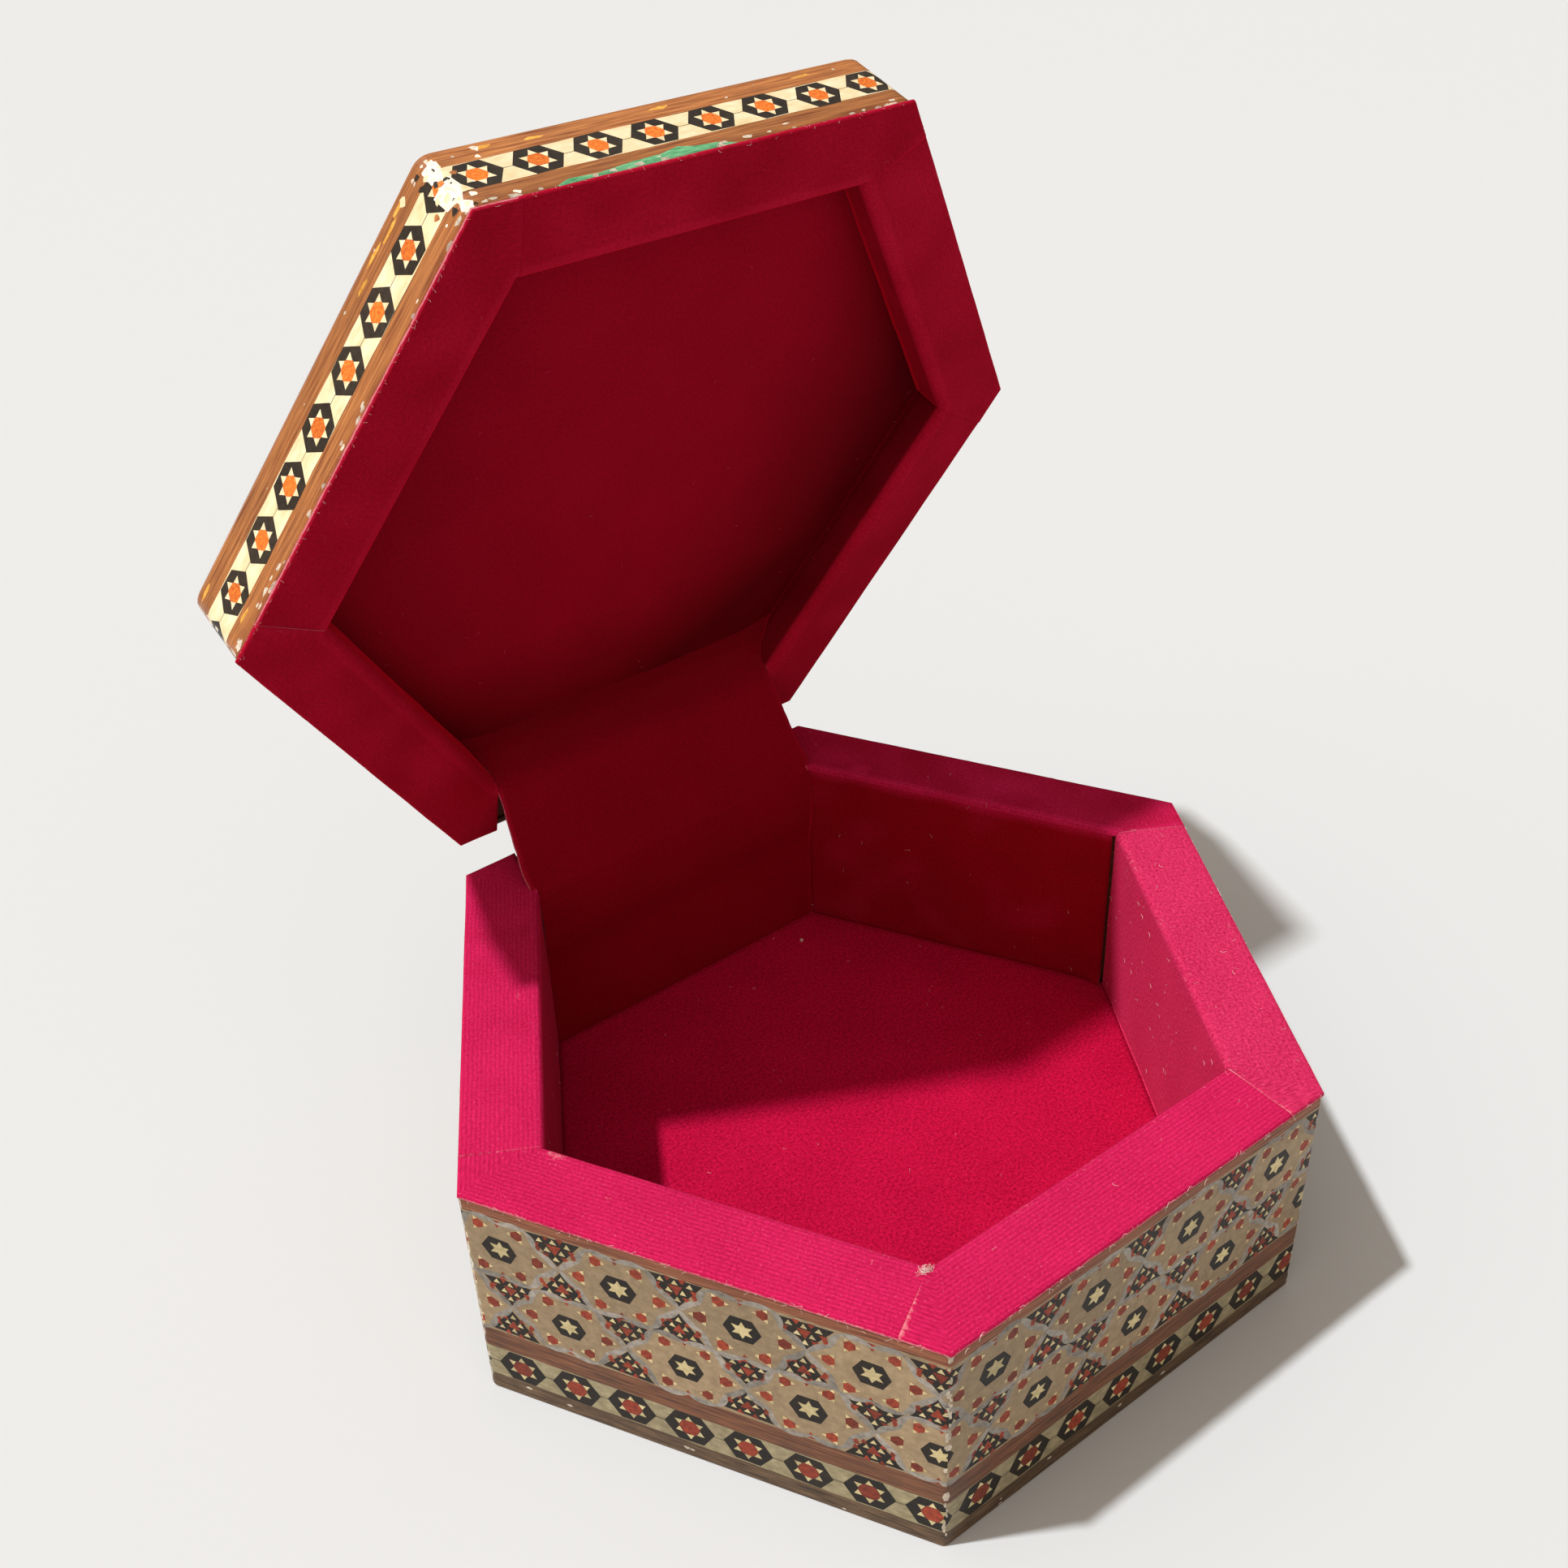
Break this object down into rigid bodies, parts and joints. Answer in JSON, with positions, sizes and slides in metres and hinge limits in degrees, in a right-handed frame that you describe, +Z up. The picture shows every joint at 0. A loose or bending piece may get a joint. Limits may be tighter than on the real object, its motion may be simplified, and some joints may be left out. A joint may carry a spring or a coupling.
{
  "type": "marquetry jewelry box",
  "caption": "Hexagonal wooden jewelry box with khatam marquetry sides, a crimson velvet lining and a hinged lid with a velvet hinge flap.",
  "frame": {"origin": "middle of the underside, on the surface that the box stands on", "axes": "+Z up, +Y towards the hinge side, +X to the right seen from the front; corners of the hexagon at +X and -X"},
  "size_m": [0.1318, 0.1284, 0.1548],
  "materials": {
    "walnut": "bare brown wood, hidden under the lining and the marquetry",
    "khatam": "khatam marquetry of tan wood, black triangles, red and cream stars, under glossy lacquer",
    "crimson_velvet": "worn crimson velvet with rows of weave",
    "brass": "dull brass"
  },
  "bodies": {
    "base": {"bottom_board": "walnut", "wall_board_front": "walnut", "wall_board_front_left": "walnut", "wall_board_front_right": "walnut", "wall_board_rear": "walnut", "wall_board_rear_left": "walnut", "wall_board_rear_right": "walnut", "khatam_side_front": "khatam", "khatam_side_front_left": "khatam", "khatam_side_front_right": "khatam", "khatam_side_rear": "khatam", "khatam_side_rear_left": "khatam", "khatam_side_rear_right": "khatam", "rim_velvet_front": "crimson_velvet", "rim_velvet_front_left": "crimson_velvet", "rim_velvet_front_right": "crimson_velvet", "rim_velvet_rear_left": "crimson_velvet", "rim_velvet_rear_right": "crimson_velvet", "floor_velvet": "crimson_velvet", "hinge_base_leaf_left": "brass", "hinge_base_leaf_right": "brass", "hinge_pin_left": "brass", "hinge_pin_right": "brass", "flap_in_base": "crimson_velvet", "flap_bridge": "crimson_velvet"},
    "lid": {"lid_top_board": "walnut", "lid_frame_front": "walnut", "lid_frame_front_left": "walnut", "lid_frame_front_right": "walnut", "lid_frame_rear": "walnut", "lid_frame_rear_left": "walnut", "lid_frame_rear_right": "walnut", "lid_khatam_side_front": "khatam", "lid_khatam_side_front_left": "khatam", "lid_khatam_side_front_right": "khatam", "lid_khatam_side_rear": "khatam", "lid_khatam_side_rear_left": "khatam", "lid_khatam_side_rear_right": "khatam", "lid_khatam_top": "khatam", "lid_rim_velvet_front": "crimson_velvet", "lid_rim_velvet_front_left": "crimson_velvet", "lid_rim_velvet_front_right": "crimson_velvet", "lid_rim_velvet_rear_left": "crimson_velvet", "lid_rim_velvet_rear_right": "crimson_velvet", "lid_recess_velvet": "crimson_velvet", "hinge_lid_leaf_left": "brass", "hinge_lid_leaf_right": "brass", "flap_in_lid": "crimson_velvet"}
  },
  "joints": [
    {"name": "lid_hinge", "type": "hinge", "parent": "base", "child": "lid", "pos_m": [0, 0.06016, 0.0395], "axis": [-1, 0, 0], "range_deg": [-73.6, 4.4], "deforming": ["flap_bridge"]}
  ]
}
